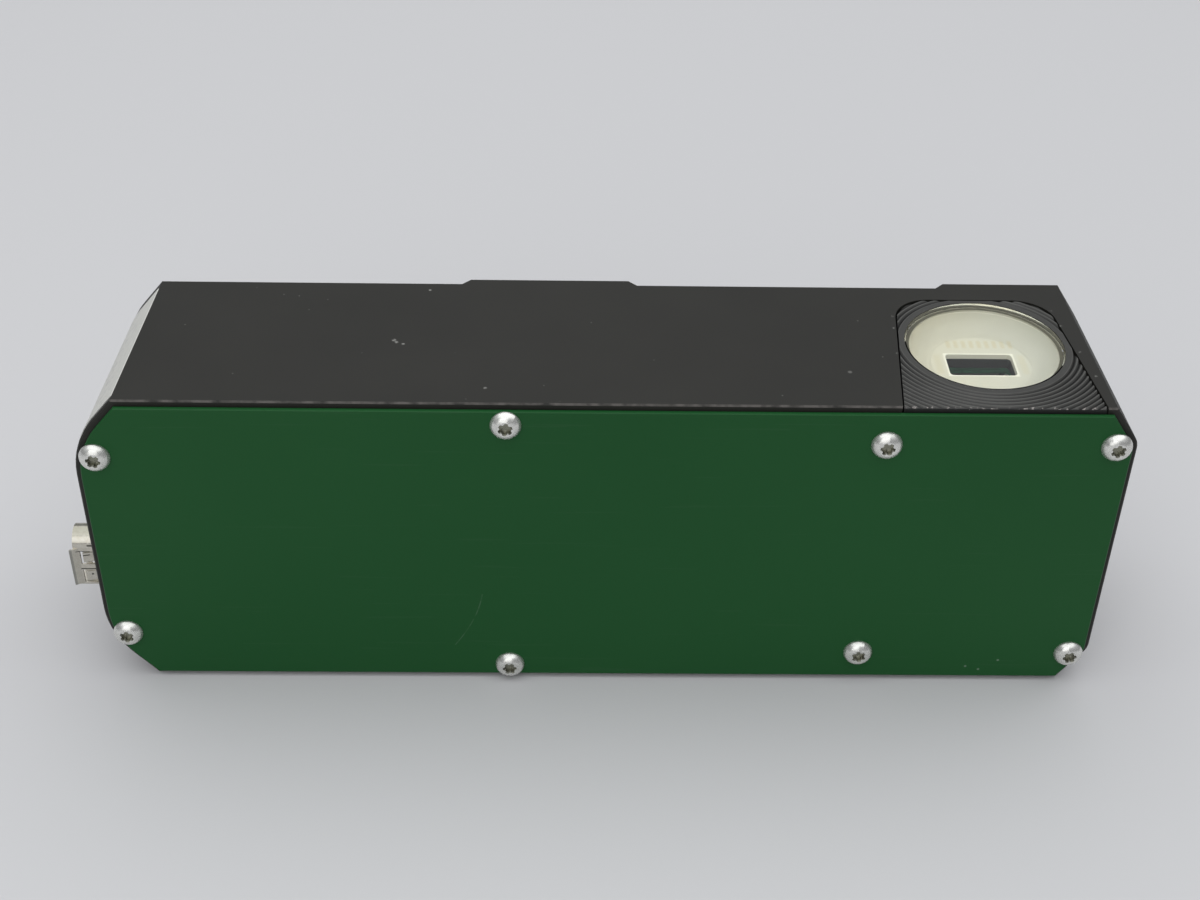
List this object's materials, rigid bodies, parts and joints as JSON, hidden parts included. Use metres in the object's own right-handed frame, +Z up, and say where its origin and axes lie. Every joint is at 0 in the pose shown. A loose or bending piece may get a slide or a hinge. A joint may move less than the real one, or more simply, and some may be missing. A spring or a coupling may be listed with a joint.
{
  "type": "machine vision camera",
  "caption": "Long flat industrial camera: a black metal tub under a green cover, with a grooved light block and round window on top and a data socket on one end.",
  "frame": {"origin": "middle of the length and depth of the body, on the long face that it rests on", "axes": "+X along the body from the data socket to the light block, +Y from the green cover to the mounting pads, +Z up, out of the window"},
  "size_m": [0.2008, 0.0456, 0.0662],
  "materials": {
    "black_anodised": "black hard anodised, fine bead-blasted grain",
    "green_paint": "satin dark green coat",
    "black_rubber": "matt black rubber",
    "stainless": "plain stainless steel",
    "black_turned": "black anodised over turned grooves",
    "black_steel": "blackened steel",
    "clear_window": "clear polished",
    "opal_plastic": "opal cream diffuser",
    "green_board": "green solder mask",
    "led_package": "pale yellow phosphor",
    "cast_aluminium": "cast and milled",
    "mirror_coating": "front-silvered",
    "spring_steel": "spring strip",
    "lens_glass": "coated optical glass",
    "chip_black": "moulded epoxy",
    "grey_pad": "soft filled silicone",
    "bright_can": "drawn can",
    "cream_plastic": "moulded nylon",
    "amber_film": "polyimide film",
    "nickel_plate": "satin nickel plate",
    "white_plastic": "moulded polyester",
    "gold_contact": "gold flash",
    "label_paper": "blank white film label"
  },
  "bodies": {
    "root": {"housing": "black_anodised", "side_cover": "green_paint", "cover_gasket": "black_rubber", "cover_screws": "stainless", "light_block": "black_turned", "block_screws": "black_steel", "window_disc": "clear_window", "window_seal": "black_rubber", "diffuser_dish": "opal_plastic", "light_board": "green_board", "light_leds": "led_package", "optics_bench": "cast_aluminium", "bench_screws": "black_steel", "fold_mirror": "mirror_coating", "mirror_clip": "spring_steel", "lens_barrel": "black_turned", "lens_glasses": "lens_glass", "lens_lock_screw": "black_steel", "sensor_board": "green_board", "sensor_board_screws": "stainless", "image_sensor": "chip_black", "sensor_glass": "lens_glass", "main_board": "green_board", "main_board_screws": "stainless", "processor_chip": "chip_black", "thermal_pad": "grey_pad", "memory_chips": "chip_black", "board_capacitors": "bright_can", "power_inductors": "chip_black", "board_headers": "cream_plastic", "sensor_ribbon": "amber_film", "power_plugs": "cream_plastic", "light_lead": "black_rubber", "socket_shell": "nickel_plate", "socket_insulator": "white_plastic", "socket_contacts": "gold_contact", "end_label": "label_paper"}
  },
  "joints": []
}
